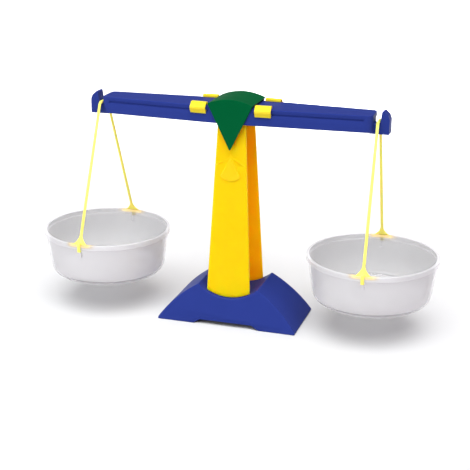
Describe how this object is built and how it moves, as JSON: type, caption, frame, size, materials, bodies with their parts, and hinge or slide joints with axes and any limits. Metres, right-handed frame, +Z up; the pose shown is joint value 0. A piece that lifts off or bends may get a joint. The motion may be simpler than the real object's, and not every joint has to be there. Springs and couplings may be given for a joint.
{
  "type": "balance scale",
  "caption": "Pan balance: a beam tips on a column above a saddle-topped base, pans hang from its ends, clips slide along it to level it and a pointer shows when it is level.",
  "frame": {"origin": "middle of the base's footprint, on the surface it stands on", "axes": "+X along the beam to the right pan, +Y towards the back, +Z up; the beam tips about Y"},
  "size_m": [0.426, 0.1386, 0.238],
  "materials": {
    "blue_plastic": "satin moulded",
    "yellow_plastic": "satin moulded",
    "green_plastic": "satin moulded",
    "straw_plastic": "satin moulded",
    "frosted_plastic": "frosted, see-through",
    "steel": "bright zinc"
  },
  "bodies": {
    "stand": {"base_shell": "blue_plastic", "column": "yellow_plastic", "base_screw_front": "steel", "base_screw_back": "steel"},
    "beam_assembly": {"beam": "blue_plastic", "pivot_pin": "steel", "pointer": "green_plastic"},
    "clip_front_left": {"slider_front_left": "yellow_plastic"},
    "clip_front_right": {"slider_front_right": "yellow_plastic"},
    "clip_back_left": {"slider_back_left": "yellow_plastic"},
    "clip_back_right": {"slider_back_right": "yellow_plastic"},
    "left_pan_assembly": {"hanger_left": "straw_plastic", "pan_left": "frosted_plastic"},
    "right_pan_assembly": {"hanger_right": "straw_plastic", "pan_right": "frosted_plastic"}
  },
  "joints": [
    {"name": "beam_tilt", "type": "hinge", "parent": "stand", "child": "beam_assembly", "pos_m": [0, 0, 0.224], "axis": [0, 1, 0], "range_deg": [-8, 8]},
    {"name": "clip_front_left_slide", "type": "slide", "parent": "beam_assembly", "child": "clip_front_left", "axis": [-0.9981, 0.061, 0], "range_m": [-0.001, 0.086]},
    {"name": "clip_front_right_slide", "type": "slide", "parent": "beam_assembly", "child": "clip_front_right", "axis": [0.9981, 0.061, 0], "range_m": [-0.001, 0.086]},
    {"name": "clip_back_left_slide", "type": "slide", "parent": "beam_assembly", "child": "clip_back_left", "axis": [-0.9981, -0.061, 0], "range_m": [-0.001, 0.086]},
    {"name": "clip_back_right_slide", "type": "slide", "parent": "beam_assembly", "child": "clip_back_right", "axis": [0.9981, -0.061, 0], "range_m": [-0.001, 0.086]},
    {"name": "left_pan_swing", "type": "hinge", "parent": "beam_assembly", "child": "left_pan_assembly", "pos_m": [-0.1456, 0, 0.2222], "axis": [0, 1, 0], "range_deg": [-10, 10]},
    {"name": "right_pan_swing", "type": "hinge", "parent": "beam_assembly", "child": "right_pan_assembly", "pos_m": [0.1456, 0, 0.2222], "axis": [0, 1, 0], "range_deg": [-10, 10]}
  ]
}
